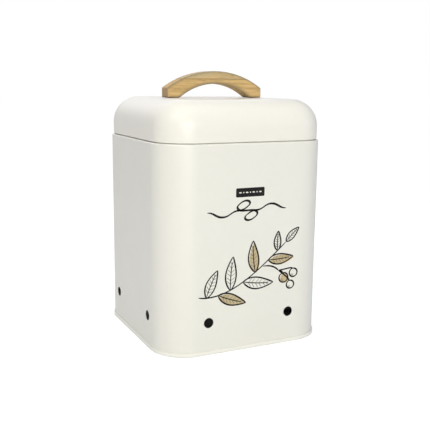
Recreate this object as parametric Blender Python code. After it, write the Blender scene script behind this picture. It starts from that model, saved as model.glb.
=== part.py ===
# A garlic keeper: a square canister of coated sheet steel with a lift-off domed lid.
# Metres, +Z up, origin on the table under the middle of the canister, front face towards -Y.

import math

import bmesh
import bpy

# Canister body, measured over the outer face of its rolled wall
body_width = 0.135
body_depth = 0.135
body_height = 0.1532
corner_radius = 0.0264
least_corner_radius = 0.0004
sheet_thickness = 0.0006

# Running and resting gaps between pieces
seat_gap = 0.0003
plug_clearance = 0.0010

# Rolled rim at the top of the body wall
rim_bore_radius = 0.0005
rim_tail_length = 0.0012

# Double seam that closes the base, and the pressed base panel inside it
seam_height = 0.0030
seam_bend_radius = 0.0008
base_recess = 0.0031
base_bend_radius = 0.0012
base_panel_step = 0.0010
base_panel_step_run = 0.0018
base_panel_margin = 0.0110

# Lock seam where the two ends of the wall meet, down the middle of the back
lock_seam_width = 0.0058
lock_seam_thickness = 0.0009
lock_seam_chamfer = 0.0004
lock_groove_width = 0.0006
lock_groove_depth = 0.0002

# Vent holes, two low down in each side
vent_diameter = 0.0075
vent_spacing = 0.0664
vent_height = 0.0243

# Lid shell, which stands in a little from the body wall
lid_inset = 0.0013
lid_straight_height = 0.0095
lid_edge_radius = 0.0200
lid_hem_bore_radius = 0.0003
lid_hem_tail_length = 0.0012

# Plug ring inside the lid, which drops into the body's rim
plug_depth = 0.0118
plug_joggle_height = 0.0020
plug_hem_bore_radius = 0.0003
plug_hem_tail_length = 0.0010

# Arched wooden handle, its ends a margin in from the lid's upright sides
handle_end_margin = 0.0262
handle_depth = 0.0125
handle_rise = 0.0201
handle_end_height = 0.0073
handle_arch_height = 0.0105
handle_foot_length = 0.0102
handle_edge_radius = 0.0008

# Screws that hold the handle from inside the lid, with a washer under each head
screw_diameter = 0.0036
screw_head_diameter = 0.0078
screw_head_height = 0.0024
screw_head_dome = 0.0007
screw_point_length = 0.0016
pilot_depth_share = 0.82
washer_diameter = 0.0105
washer_thickness = 0.0008

# Overrun of every cutter past the surface that it opens
cut_overrun = 0.0020

# Numbers of facets
corner_segments = 10
curl_segments = 5
bend_segments = 3
edge_segments = 9
arch_segments = 20
vent_segments = 28
turned_segments = 20

# Insets run inwards from the outer face of the body wall, heights up from each body's own frame
rim_curl_radius = rim_bore_radius + sheet_thickness
rim_inner_inset = 2 * rim_curl_radius
lid_hem_radius = lid_hem_bore_radius + sheet_thickness
lid_hem_inner_inset = lid_inset + 2 * lid_hem_radius
plug_hem_radius = plug_hem_bore_radius + sheet_thickness
plug_inset = max(rim_inner_inset + plug_clearance, lid_hem_inner_inset + seat_gap)
lid_height = lid_straight_height + lid_edge_radius
lid_rest_height = body_height + seat_gap
handle_length = body_width - 2 * (lid_inset + handle_end_margin)
screw_x = handle_length / 2 - handle_foot_length / 2


def clear_scene():
    for thing in list(bpy.data.objects):
        bpy.data.objects.remove(thing)


def make_material(name, colour, roughness, metallic):
    material = bpy.data.materials.new(name)
    material.use_nodes = True
    shader = material.node_tree.nodes["Principled BSDF"]
    shader.inputs["Base Color"].default_value = (*colour, 1.0)
    shader.inputs["Roughness"].default_value = roughness
    shader.inputs["Metallic"].default_value = metallic
    material.diffuse_color = (*colour, 1.0)
    return material


def make_frame(name, height):
    """An empty at the given height on the canister's upright axis."""
    frame = bpy.data.objects.new(name, None)
    frame.location = (0, 0, height)
    bpy.context.scene.collection.objects.link(frame)
    return frame


def make_object(name, bm, material, frame, location=(0, 0, 0)):
    """Turns the mesh in bm into a named solid, smooth but for its sharp edges."""
    bmesh.ops.recalc_face_normals(bm, faces=bm.faces)
    mesh = bpy.data.meshes.new(name)
    bm.to_mesh(mesh)
    bm.free()
    mesh.shade_smooth()
    mesh.set_sharp_from_angle(angle=math.radians(40))
    mesh.materials.append(material)
    thing = bpy.data.objects.new(name, mesh)
    thing.parent = frame
    thing.location = location
    bpy.context.scene.collection.objects.link(thing)
    return thing


def make_cutter(name, bm, frame, location=(0, 0, 0)):
    """A helper solid for a Boolean, which is never part of the model."""
    bmesh.ops.recalc_face_normals(bm, faces=bm.faces)
    mesh = bpy.data.meshes.new(name)
    bm.to_mesh(mesh)
    bm.free()
    cutter = bpy.data.objects.new(name, mesh)
    cutter.parent = frame
    cutter.location = location
    cutter.hide_render = True
    cutter.display_type = "WIRE"
    bpy.context.scene.collection.objects.link(cutter)
    return cutter


def combine(thing, other, operation):
    modifier = thing.modifiers.new(other.name, "BOOLEAN")
    modifier.operation = operation
    modifier.solver = "EXACT"
    modifier.object = other


def arc(centre, radius, start, end, segments):
    """Points on an arc, as (inset, height), from one angle in degrees to another."""
    points = []
    for step in range(segments + 1):
        angle = math.radians(start + (end - start) * step / segments)
        points.append((centre[0] + radius * math.cos(angle), centre[1] + radius * math.sin(angle)))
    return points


def plan_outline(inset):
    """The canister's rounded plan, drawn in by inset from the body wall's outer face."""
    half_width = body_width / 2 - inset
    half_depth = body_depth / 2 - inset
    radius = max(corner_radius - inset, least_corner_radius)
    quarters = (
        (half_width - radius, half_depth - radius, 0),
        (radius - half_width, half_depth - radius, 90),
        (radius - half_width, radius - half_depth, 180),
        (half_width - radius, radius - half_depth, 270),
    )
    points = []
    for x, y, start in quarters:
        points += arc((x, y), radius, start, start + 90, corner_segments)
    return points


def carry_profile(profile, closed):
    """Carries a profile of (inset, height) points round the plan. A closed profile makes a
    hoop of sheet, and an open one makes a dish, whose first and last rings are filled."""
    bm = bmesh.new()
    rings = []
    for inset, height in profile:
        rings.append([bm.verts.new((x, y, height)) for x, y in plan_outline(inset)])
    pairs = list(zip(rings, rings[1:]))
    if closed:
        pairs.append((rings[-1], rings[0]))
    for lower, upper in pairs:
        count = len(lower)
        for i in range(count):
            j = (i + 1) % count
            bm.faces.new((lower[i], lower[j], upper[j], upper[i]))
    if not closed:
        bm.faces.new(rings[0])
        bm.faces.new(rings[-1])
    return bm


def turn_profile(profile, closed, segments):
    """Turns a profile of (radius, height) points round the Z axis. The ends of an open
    profile lie on the axis."""
    bm = bmesh.new()
    verts = [bm.verts.new((radius, 0, height)) for radius, height in profile]
    edges = [bm.edges.new(pair) for pair in zip(verts, verts[1:])]
    if closed:
        edges.append(bm.edges.new((verts[-1], verts[0])))
    bmesh.ops.spin(
        bm,
        geom=verts + edges,
        cent=(0, 0, 0),
        axis=(0, 0, 1),
        angle=math.tau,
        steps=segments,
        use_merge=True,
    )
    bmesh.ops.remove_doubles(bm, verts=bm.verts, dist=seat_gap / 100)
    return bm


def box_between(low, high):
    bm = bmesh.new()
    bmesh.ops.create_cube(bm, size=1.0)
    for vert in bm.verts:
        vert.co = [low[k] + (vert.co[k] + 0.5) * (high[k] - low[k]) for k in range(3)]
    return bm


def rod_along(axis, diameter, length, segments):
    """A cylinder centred on the origin, along X, Y or Z."""
    bm = bmesh.new()
    bmesh.ops.create_cone(
        bm,
        cap_ends=True,
        segments=segments,
        radius1=diameter / 2,
        radius2=diameter / 2,
        depth=length,
    )
    if axis != "Z":
        for vert in bm.verts:
            x, y, z = vert.co
            vert.co = (z, y, x) if axis == "X" else (x, z, y)
    return bm


def make_body_wall(material, frame):
    """The rolled wall: a straight sheet whose top is curled in to a rim and down again."""
    foot = sheet_thickness + seat_gap
    curl_height = body_height - rim_curl_radius
    tail_foot = curl_height - rim_tail_length
    profile = [(0, foot)]
    profile += arc((rim_curl_radius, curl_height), rim_curl_radius, 180, 0, curl_segments)
    profile += [(rim_inner_inset, tail_foot), (rim_inner_inset - sheet_thickness, tail_foot)]
    profile += arc((rim_curl_radius, curl_height), rim_bore_radius, 0, 180, curl_segments)
    profile += [(sheet_thickness, foot)]
    wall = make_object("body_wall", carry_profile(profile, True), material, frame)

    back = body_depth / 2
    ridge_foot = base_recess + base_panel_step + sheet_thickness + seat_gap
    ridge_top = tail_foot - seat_gap
    ridge = box_between(
        (-lock_seam_width / 2, back - sheet_thickness - lock_seam_thickness, ridge_foot),
        (lock_seam_width / 2, back - sheet_thickness / 2, ridge_top),
    )
    inner_edges = [e for e in ridge.edges if all(v.co.y < back - sheet_thickness for v in e.verts)]
    bmesh.ops.bevel(ridge, geom=inner_edges, offset=lock_seam_chamfer, segments=1, affect="EDGES")
    combine(wall, make_cutter("lock_seam_ridge", ridge, frame), "UNION")
    groove = box_between(
        (-lock_groove_width / 2, back - lock_groove_depth, seam_height + seat_gap),
        (lock_groove_width / 2, back + cut_overrun, curl_height),
    )
    combine(wall, make_cutter("lock_seam_groove", groove, frame), "DIFFERENCE")

    for side in (-1, 1):
        across = side * vent_spacing / 2
        through = rod_along("Y", vent_diameter, body_depth + 2 * cut_overrun, vent_segments)
        place = (across, 0, vent_height)
        combine(wall, make_cutter("vent_front_back", through, frame, place), "DIFFERENCE")
        through = rod_along("X", vent_diameter, body_width + 2 * cut_overrun, vent_segments)
        place = (0, across, vent_height)
        combine(wall, make_cutter("vent_sides", through, frame, place), "DIFFERENCE")
    return wall


def make_base_panel(material, frame):
    """The pressed base: a stepped floor whose edge goes down inside the wall, under its
    foot and up outside it, as the hook of the double seam."""
    outer = -(seat_gap + sheet_thickness)
    leg_out = sheet_thickness + seat_gap
    leg_in = leg_out + sheet_thickness
    inside_bend = base_bend_radius - sheet_thickness
    floor_top = base_recess + sheet_thickness
    step_out = leg_in + base_panel_margin
    step_in = step_out + base_panel_step_run
    edge_round = sheet_thickness / 2
    profile = [(step_in, floor_top + base_panel_step), (step_out, floor_top)]
    bend = (leg_out + base_bend_radius, floor_top - base_bend_radius)
    profile += arc(bend, base_bend_radius, 90, 180, bend_segments)
    profile += [(leg_out, sheet_thickness), (-seat_gap, sheet_thickness)]
    profile += arc((outer + edge_round, seam_height - edge_round), edge_round, 0, 180, bend_segments)
    bend = (outer + seam_bend_radius, seam_bend_radius)
    profile += arc(bend, seam_bend_radius, 180, 270, bend_segments)
    bend = (leg_in - seam_bend_radius, seam_bend_radius)
    profile += arc(bend, seam_bend_radius, 270, 360, bend_segments)
    bend = (leg_in + inside_bend, base_recess - inside_bend)
    profile += arc(bend, inside_bend, 180, 90, bend_segments)
    profile += [(step_out, base_recess), (step_in, base_recess + base_panel_step)]
    return make_object("base_panel", carry_profile(profile, False), material, frame)


def make_lid_shell(material, frame):
    """The drawn lid: a flat top, a wide round edge, a short upright wall and a hem that is
    turned in and up. Heights run from the underside of the hem."""
    wall_top = lid_straight_height
    edge_inset = lid_inset + lid_edge_radius
    hem = (lid_inset + lid_hem_radius, lid_hem_radius)
    tail_top = lid_hem_radius + lid_hem_tail_length
    profile = arc((edge_inset, wall_top), lid_edge_radius, 90, 180, edge_segments)
    profile += arc(hem, lid_hem_radius, 180, 360, curl_segments)
    profile += [(lid_hem_inner_inset, tail_top), (lid_hem_inner_inset - sheet_thickness, tail_top)]
    profile += arc(hem, lid_hem_bore_radius, 360, 180, curl_segments)
    inner_radius = lid_edge_radius - sheet_thickness
    profile += arc((edge_inset, wall_top), inner_radius, 180, 90, edge_segments)
    shell = make_object("lid_shell", carry_profile(profile, False), material, frame)
    for side, word in ((-1, "left"), (1, "right")):
        hole = rod_along("Z", screw_diameter + 2 * seat_gap, 2 * cut_overrun, turned_segments)
        place = (side * screw_x, 0, lid_height)
        combine(shell, make_cutter("screw_hole_" + word, hole, frame, place), "DIFFERENCE")
    return shell


def make_plug_ring(material, frame):
    """The hoop spot-welded inside the lid: an upper band against the lid's wall, a joggle
    over the lid's hem, and a skirt that hangs into the body and ends in a hem."""
    band_inset = lid_inset + sheet_thickness + seat_gap
    band_top = lid_straight_height - seat_gap
    joggle_foot = lid_hem_radius + lid_hem_tail_length + seat_gap
    joggle_top = joggle_foot + plug_joggle_height
    hem = (plug_inset + plug_hem_radius, plug_hem_radius - plug_depth)
    hem_inner = plug_inset + 2 * plug_hem_radius
    tail_top = hem[1] + plug_hem_tail_length
    profile = [(band_inset, band_top), (band_inset, joggle_top), (plug_inset, joggle_foot)]
    profile += arc(hem, plug_hem_radius, 180, 360, curl_segments)
    profile += [(hem_inner, tail_top), (hem_inner - sheet_thickness, tail_top)]
    profile += arc(hem, plug_hem_bore_radius, 360, 180, curl_segments)
    profile += [
        (plug_inset + sheet_thickness, joggle_foot),
        (band_inset + sheet_thickness, joggle_top),
        (band_inset + sheet_thickness, band_top),
    ]
    return make_object("lid_plug_ring", carry_profile(profile, True), material, frame)


def circle_through(half_span, sag):
    """Radius of the circle whose arc has this half span and this sag."""
    return (half_span**2 + sag**2) / (2 * sag)


def handle_top_at(x):
    """Height of the handle's outer curve above its feet."""
    radius = circle_through(handle_length / 2, handle_rise - handle_end_height)
    return handle_rise - radius + math.sqrt(radius**2 - x**2)


def make_handle(material, frame):
    """The arch, sawn from one board: an outer arc, upright ends, flat feet and an inner arc,
    with every edge eased and a pilot hole up into each foot."""
    half_length = handle_length / 2
    half_gap = half_length - handle_foot_length
    inner_radius = circle_through(half_gap, handle_arch_height)
    outline = []
    for step in range(arch_segments + 1):
        x = half_length - handle_length * step / arch_segments
        outline.append((x, handle_top_at(x)))
    outline.append((-half_length, 0))
    for step in range(arch_segments + 1):
        x = 2 * half_gap * step / arch_segments - half_gap
        z = handle_arch_height - inner_radius + math.sqrt(inner_radius**2 - x**2)
        outline.append((x, z))
    outline.append((half_length, 0))
    bm = bmesh.new()
    side = bm.faces.new([bm.verts.new((x, -handle_depth / 2, z)) for x, z in outline])
    swept = bmesh.ops.extrude_face_region(bm, geom=[side])["geom"]
    moved = [v for v in swept if isinstance(v, bmesh.types.BMVert)]
    bmesh.ops.translate(bm, verts=moved, vec=(0, handle_depth, 0))
    place = (0, 0, lid_height + seat_gap)
    handle = make_object("handle", bm, material, frame, place)
    easing = handle.modifiers.new("eased_edges", "BEVEL")
    easing.width = handle_edge_radius
    easing.segments = bend_segments
    easing.limit_method = "ANGLE"
    easing.angle_limit = math.radians(30)
    for side, word in ((-1, "left"), (1, "right")):
        depth = pilot_depth()
        hole = rod_along("Z", screw_diameter + 2 * seat_gap, 2 * depth, turned_segments)
        middle = (side * screw_x, 0, place[2])
        combine(handle, make_cutter("pilot_hole_" + word, hole, frame, middle), "DIFFERENCE")
    return handle


def pilot_depth():
    """Depth of the screw's pilot hole, a share of the wood above the foot there."""
    return pilot_depth_share * handle_top_at(screw_x)


def washer_top():
    return lid_height - sheet_thickness - seat_gap


def make_screw(word, side, material, frame):
    """A pan-head screw, turned about its own axis: origin under its head, point upwards."""
    shank = screw_diameter / 2
    head = screw_head_diameter / 2
    seat = washer_top() - washer_thickness - seat_gap
    tip = lid_height + seat_gap + pilot_depth() - seat_gap - seat
    profile = [(0, -screw_head_height), (head / 2, -screw_head_height + screw_head_dome / 4)]
    profile += [(head, -screw_head_height + screw_head_dome), (head, 0), (shank, 0)]
    profile += [(shank, tip - screw_point_length), (0, tip)]
    bm = turn_profile(profile, False, turned_segments)
    return make_object("handle_screw_" + word, bm, material, frame, (side * screw_x, 0, seat))


def make_washer(word, side, material, frame):
    """A flat washer, with its origin in its upper face."""
    bore = screw_diameter / 2 + seat_gap
    rim = washer_diameter / 2
    profile = [(bore, 0), (rim, 0), (rim, -washer_thickness), (bore, -washer_thickness)]
    bm = turn_profile(profile, True, turned_segments)
    place = (side * screw_x, 0, washer_top())
    return make_object("handle_washer_" + word, bm, material, frame, place)


def settle_shading(thing):
    """Keeps a large flat face flat in shade where it runs into a smooth bend."""
    normals = thing.modifiers.new("face_weighted_normals", "WEIGHTED_NORMAL")
    normals.keep_sharp = True


def main():
    clear_scene()
    coat = make_material("cream_coat", (0.87, 0.85, 0.77), 0.42, 0.0)
    base_coat = make_material("base_coat", (0.84, 0.82, 0.75), 0.45, 0.0)
    lid_coat = make_material("lid_coat", (0.88, 0.86, 0.78), 0.42, 0.0)
    plug_coat = make_material("plug_coat", (0.86, 0.84, 0.77), 0.45, 0.0)
    wood = make_material("light_wood", (0.60, 0.40, 0.19), 0.55, 0.0)
    zinc = make_material("zinc_plate", (0.70, 0.70, 0.68), 0.32, 1.0)
    washer_zinc = make_material("washer_zinc", (0.66, 0.66, 0.65), 0.36, 1.0)

    body_frame = make_frame("body_frame", 0)
    lid_frame = make_frame("lid_frame", lid_rest_height)
    pieces = [
        make_body_wall(coat, body_frame),
        make_base_panel(base_coat, body_frame),
        make_lid_shell(lid_coat, lid_frame),
        make_plug_ring(plug_coat, lid_frame),
        make_handle(wood, lid_frame),
    ]
    for side, word in ((-1, "left"), (1, "right")):
        pieces.append(make_screw(word, side, zinc, lid_frame))
        pieces.append(make_washer(word, side, washer_zinc, lid_frame))
    for piece in pieces:
        settle_shading(piece)


main()
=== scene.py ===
import math

import bmesh
import bpy
import numpy as np
from mathutils import Matrix, Vector


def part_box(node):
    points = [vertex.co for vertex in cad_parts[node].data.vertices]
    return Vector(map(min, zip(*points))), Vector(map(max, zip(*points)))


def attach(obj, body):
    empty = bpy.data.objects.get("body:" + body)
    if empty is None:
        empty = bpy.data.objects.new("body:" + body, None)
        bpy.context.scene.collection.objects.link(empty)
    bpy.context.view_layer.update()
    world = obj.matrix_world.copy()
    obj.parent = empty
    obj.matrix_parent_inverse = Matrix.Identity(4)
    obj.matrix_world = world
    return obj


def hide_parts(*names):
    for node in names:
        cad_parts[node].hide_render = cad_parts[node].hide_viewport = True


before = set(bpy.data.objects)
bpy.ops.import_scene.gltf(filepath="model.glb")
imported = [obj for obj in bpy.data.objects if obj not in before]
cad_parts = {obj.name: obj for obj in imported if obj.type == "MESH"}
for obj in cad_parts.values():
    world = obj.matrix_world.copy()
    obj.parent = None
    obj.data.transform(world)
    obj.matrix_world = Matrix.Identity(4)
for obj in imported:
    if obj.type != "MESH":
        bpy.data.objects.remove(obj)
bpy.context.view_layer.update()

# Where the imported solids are. All lengths are metres.
wallLow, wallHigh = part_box("body_wall")
baseLow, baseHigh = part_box("base_panel")
lidLow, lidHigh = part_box("lid_shell")
plugLow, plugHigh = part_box("lid_plug_ring")
gripLow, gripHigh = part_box("handle")

sheet = {
    "thickness": 0.0006,        # coated steel, all four pressings
    "cornerRadius": 0.0264,     # plan corner on the wall's outer face
    "cornerSteps": 22,          # facets round one corner
    "flatSteps": 8,             # cells along a side of every pressing but the wall
    "gap": 0.0003,              # between neighbours
    "recess": 0.0031,           # from the table to the underside of the base
    "sharpDegrees": 50,         # an edge that turns more than this stays sharp
    "merge": 1e-6,
}
flatReach = wallHigh.x - sheet["cornerRadius"]      # from the middle of a side to its corner


# Grids, outlines and meshes


def quadGrid(rows, columns, closeRows=False, closeColumns=False):
    # Quad (r, c) joins the points r*columns + c, its right neighbour and the two above them
    r = np.arange(rows if closeRows else rows - 1)
    c = np.arange(columns if closeColumns else columns - 1)
    r, c = np.meshgrid(r, c, indexing="ij")
    rowUp, columnOn = (r + 1) % rows, (c + 1) % columns
    corners = (r * columns + c, r * columns + columnOn, rowUp * columns + columnOn, rowUp * columns + c)
    return np.stack(corners, axis=-1).reshape(-1, 4)


def closedByPoles(points, first, last):
    # Rings of points joined by quads, and a fan from the first ring and from the last ring to a pole each
    rows, columns = points.shape[:2]
    count = rows * columns
    faces = quadGrid(rows, columns, closeColumns=True).tolist()
    for ring, pole in ((np.arange(columns)[::-1], count), (np.arange(columns) + count - columns, count + 1)):
        faces += np.stack((ring, np.roll(ring, -1), np.full(columns, pole)), axis=-1).tolist()
    return np.concatenate((points.reshape(-1, 3), (first, last))), faces


def unitCircle(angle):
    # (cos a, sin a)
    return np.stack((np.cos(angle), np.sin(angle)), axis=-1)


def halfWave(share):
    # Half a cosine wave, from 0 up to 1
    return 0.5 - 0.5 * np.cos(math.pi * share)


def arcOf(centre, radius, startDegrees, endDegrees, steps):
    # centre + radius * (cos, sin) of an angle that runs evenly from start to end
    angle = np.radians(np.linspace(startDegrees, endDegrees, steps + 1))
    return np.array(centre) + radius * unitCircle(angle)


def spread(*stops):
    # Even steps between stops, given as value, steps, value, steps, value
    runs = []
    for k in range(0, len(stops) - 2, 2):
        runs.append(np.linspace(stops[k], stops[k + 2], stops[k + 1], endpoint=False))
    return np.concatenate(runs + [[stops[-1]]])


def planOutline(flatStops):
    # Four sides in turn, front, right, back, left. A flat's points are normal * half width + tangent * s,
    # and a corner's are its centre + radius * (cos a, sin a), with (cos a, sin a) as the normal.
    half, radius = wallHigh.x, sheet["cornerRadius"]
    points, normals, sides, along = [], [], [], []
    for side, stops in enumerate(flatStops):
        start = math.radians(90 * side - 90)
        normal = np.array((math.cos(start), math.sin(start)))
        tangent = np.array((-normal[1], normal[0]))
        points.append(normal * half + tangent * stops[:, None])
        normals.append(np.repeat(normal[None], len(stops), axis=0))
        sides.append(np.full(len(stops), side))
        along.append(stops)
        angle = start + np.linspace(0, math.pi / 2, sheet["cornerSteps"] + 1)[1:-1]
        turned = unitCircle(angle)
        points.append((normal + tangent) * flatReach + turned * radius)
        normals.append(turned)
        sides.append(np.full(len(angle), -1))
        along.append(np.zeros(len(angle)))
    runs = {"points": points, "normals": normals, "sides": sides, "along": along}
    return {key: np.concatenate(run) for key, run in runs.items()}


def plainOutline(steps=sheet["flatSteps"]):
    # The plan with even steps along all four flats
    return planOutline([np.linspace(-flatReach, flatReach, steps + 1)] * 4)


def joined(parts):
    # Parts of points and faces as one, where a part's faces count on from the points before it
    points, faces, count = [], [], 0
    for part, partFaces in parts:
        points.append(part.reshape(-1, 3))
        faces += [[index + count for index in face] for face in partFaces]
        count += len(points[-1])
    return np.concatenate(points), faces


def carried(profile, outline, shift=0.0):
    # Point (v, u) is outline point u, moved in along its normal by profile point v's inset, at v's height
    inset = profile[:, None, 0] + shift
    flat = outline["points"][None] - inset[..., None] * outline["normals"][None]
    height = np.broadcast_to(profile[:, None, 1], flat.shape[:2])
    return np.concatenate((flat, height[..., None]), axis=-1)


def pieceOf(name, points, faces, body, nodes, slotName, material, sharpDegrees=None, merge=0.0):
    # One mesh object at the origin, with its place in its mesh. Without sharpDegrees its faces stay flat.
    mesh = bpy.data.meshes.new(name)
    mesh.from_pydata(np.asarray(points, float).reshape(-1, 3).tolist(), [], faces)
    bm = bmesh.new()
    bm.from_mesh(mesh)
    if merge:
        bmesh.ops.remove_doubles(bm, verts=bm.verts, dist=merge)
        bmesh.ops.delete(bm, geom=[v for v in bm.verts if not v.link_faces], context="VERTS")
    bmesh.ops.recalc_face_normals(bm, faces=bm.faces)
    loose = sum(not edge.is_manifold for edge in bm.edges)
    bm.to_mesh(mesh)
    bm.free()
    if sharpDegrees:
        mesh.shade_smooth()
        mesh.set_sharp_from_angle(angle=math.radians(sharpDegrees))
    piece = bpy.data.objects.new(name, mesh)
    bpy.context.scene.collection.objects.link(piece)
    piece.data.materials.append(material)
    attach(piece, body)
    if nodes:
        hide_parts(*nodes)
    print("made", name, "with", len(mesh.polygons), "faces,", loose, "open edges")
    return piece


def pressing(name, points, faces, body, node, material, merge=sheet["merge"]):
    # A piece of coated sheet
    return pieceOf(name, points, faces, body, [node], "cream_coat", material, sheet["sharpDegrees"], merge)


# Finishes


def newGroup(name, inputs, outputs):
    # An input is its label, kind and default, an output its label and kind
    tree = bpy.data.node_groups.new(name, "ShaderNodeTree")
    for label, kind, value in inputs:
        socket = tree.interface.new_socket(name=label, in_out="INPUT", socket_type="NodeSocket" + kind)
        if value is not None:
            socket.default_value = value
    for label, kind in outputs:
        tree.interface.new_socket(name=label, in_out="OUTPUT", socket_type="NodeSocket" + kind)
    return tree, tree.nodes.new("NodeGroupInput").outputs, tree.nodes.new("NodeGroupOutput").inputs


def put(tree, kind, settings=None, **wires):
    # Adds a node. A wire is a socket to link from or a value. Its name is the socket's with _ for a space,
    # or i and the socket's number.
    node = tree.nodes.new("ShaderNode" + kind)
    for key, value in (settings or {}).items():
        setattr(node, key, value)
    for key, value in wires.items():
        label = int(key[1:]) if key[0] == "i" and key[1:].isdigit() else key.replace("_", " ")
        socket = node.inputs[label]
        if isinstance(value, bpy.types.NodeSocket):
            tree.links.new(value, socket)
        else:
            socket.default_value = value
    return node


def maths(tree, operation, first, second=0.0, third=0.0, clamp=False):
    settings = {"operation": operation, "use_clamp": clamp}
    return put(tree, "Math", settings, i0=first, i1=second, i2=third).outputs[0]


def blendOf(tree, amount, first, second):
    settings = {"data_type": "RGBA", "blend_type": "MIX", "clamp_factor": True}
    return put(tree, "Mix", settings, i0=amount, i6=first, i7=second).outputs[2]


def ranged(tree, value, low, high, newLow=0.0, newHigh=1.0):
    wires = {"Value": value, "From_Min": low, "From_Max": high, "To_Min": newLow, "To_Max": newHigh}
    return put(tree, "MapRange", {"interpolation_type": "SMOOTHSTEP"}, **wires).outputs[0]


def noise(tree, place, scale, detail=2.0, roughness=0.5):
    return put(tree, "TexNoise", Vector=place, Scale=scale, Detail=detail, Roughness=roughness).outputs["Fac"]


def split(tree, vector):
    return put(tree, "SeparateXYZ", Vector=vector).outputs


def lengthOf(tree, vector):
    return put(tree, "VectorMath", {"operation": "LENGTH"}, Vector=vector).outputs["Value"]


def newMaterial(name, **constants):
    material = bpy.data.materials.new(name)
    material.use_nodes = True
    shader = material.node_tree.nodes["Principled BSDF"]
    for key, value in constants.items():
        shader.inputs[key.replace("_", " ")].default_value = value
    return material, material.node_tree, shader


def objectPlace(tree):
    return tree.nodes.new("ShaderNodeTexCoord").outputs["Object"]


def surface(tree, shader, colour, rough, height, strength, distance):
    # Wires a colour, a roughness and a bump to the shader
    normal = put(tree, "Bump", Strength=strength, Distance=distance, Height=height).outputs["Normal"]
    for label, socket in (("Base Color", colour), ("Roughness", rough), ("Normal", normal)):
        tree.links.new(socket, shader.inputs[label])


powder = {
    "pebbleScale": 950.0,
    "peelScale": 240.0,
    "driftScale": 22.0,
    "speckScale": 420.0,
    "speckSize": (0.03, 0.09),
    "speckWhere": (0.55, 0.66),         # of the pebbles' height
    "driftRange": (0.35, 0.72),
    "peelRange": (0.40, 0.75),
    "driftShare": 0.16,                 # how far each one takes the colour to its shade
    "peelShare": 0.10,
    "speckShare": 0.35,
    "roughDrift": (0.30, 0.75, -0.03, 0.04),
    "pebbleHeight": 0.35,
    "peelHeight": 0.65,
    "bandBreaks": (0.40, 0.62),
}


def coatGroup():
    # Powder coat: a fine pebbled height, a slow mottle of the colour, and a few darker specks
    inputs = [
        ("Vector", "Vector", None),
        ("Colour", "Color", (0.8, 0.8, 0.8, 1)),
        ("Shade", "Color", (0.7, 0.7, 0.7, 1)),
        ("Roughness", "Float", 0.4),
    ]
    outputs = [("Colour", "Color"), ("Roughness", "Float"), ("Height", "Float")]
    tree, given, out = newGroup("powderCoat", inputs, outputs)
    place = given["Vector"]
    pebble = noise(tree, place, powder["pebbleScale"], 2.0, 0.55)
    peel = noise(tree, place, powder["peelScale"])
    drift = noise(tree, place, powder["driftScale"], 3.0, 0.6)
    grain = put(tree, "TexVoronoi", {"feature": "F1"}, Vector=place, Scale=powder["speckScale"])
    speck = maths(tree, "SUBTRACT", 1.0, ranged(tree, grain.outputs["Distance"], *powder["speckSize"]))
    speck = maths(tree, "MULTIPLY", speck, ranged(tree, pebble, *powder["speckWhere"]))
    mottle = maths(tree, "MULTIPLY", ranged(tree, drift, *powder["driftRange"]), powder["driftShare"])
    orange = ranged(tree, peel, *powder["peelRange"])
    mottle = maths(tree, "MULTIPLY_ADD", orange, powder["peelShare"], mottle)
    mottle = maths(tree, "MULTIPLY_ADD", speck, powder["speckShare"], mottle, clamp=True)
    rough = maths(tree, "ADD", given["Roughness"], ranged(tree, drift, *powder["roughDrift"]))
    height = maths(tree, "MULTIPLY", pebble, powder["pebbleHeight"])
    height = maths(tree, "MULTIPLY_ADD", peel, powder["peelHeight"], height)
    tree.links.new(blendOf(tree, mottle, given["Colour"], given["Shade"]), out["Colour"])
    tree.links.new(rough, out["Roughness"])
    tree.links.new(height, out["Height"])
    return tree


def bandMaskGroup():
    # A band near a height: 1 at that height, 0 at reach from it, broken up by noise. It places the painted
    # highlight lines and the dust.
    inputs = [
        ("Vector", "Vector", None),
        ("Level", "Float", 0.15),
        ("Reach", "Float", 0.001),
        ("Grain", "Float", 180.0),
    ]
    tree, given, out = newGroup("brokenBandMask", inputs, [("Mask", "Float")])
    height = split(tree, given["Vector"])["Z"]
    away = maths(tree, "ABSOLUTE", maths(tree, "SUBTRACT", height, given["Level"]))
    near = maths(tree, "SUBTRACT", 1.0, maths(tree, "DIVIDE", away, given["Reach"]), clamp=True)
    broken = ranged(tree, noise(tree, given["Vector"], given["Grain"], 4.0), *powder["bandBreaks"])
    tree.links.new(maths(tree, "MULTIPLY", near, broken), out["Mask"])
    return tree


def insideShadeGroup():
    # 1 on faces inside the canister, where the coat takes a painted shade: nearer its axis than the middle of
    # the sheet, between two levels and not underneath. The distance is the length of (|x| - c, |y| - c), each
    # no less than 0, from a plan corner's centre (c, c).
    inputs = [
        ("Vector", "Vector", None),
        ("Normal", "Vector", None),
        ("Centre", "Float", 0.04),
        ("Reach", "Float", 0.026),
        ("Low", "Float", 0.003),
        ("High", "Float", 0.15),
    ]
    tree, given, out = newGroup("paintedShadeInside", inputs, [("Mask", "Float")])
    place = split(tree, given["Vector"])
    past = []
    for axis in "XY":
        beyond = maths(tree, "SUBTRACT", maths(tree, "ABSOLUTE", place[axis]), given["Centre"])
        past.append(maths(tree, "MAXIMUM", beyond, 0.0))
    away = lengthOf(tree, put(tree, "CombineXYZ", X=past[0], Y=past[1]).outputs[0])
    facing = split(tree, given["Normal"])["Z"]
    mask = maths(tree, "LESS_THAN", away, given["Reach"])
    mask = maths(tree, "MULTIPLY", mask, maths(tree, "GREATER_THAN", place["Z"], given["Low"]))
    mask = maths(tree, "MULTIPLY", mask, maths(tree, "LESS_THAN", place["Z"], given["High"]))
    mask = maths(tree, "MULTIPLY", mask, maths(tree, "GREATER_THAN", facing, -0.5))
    tree.links.new(mask, out["Mask"])
    return tree


groups = {"coat": coatGroup(), "bandMask": bandMaskGroup(), "inside": insideShadeGroup()}


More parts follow.
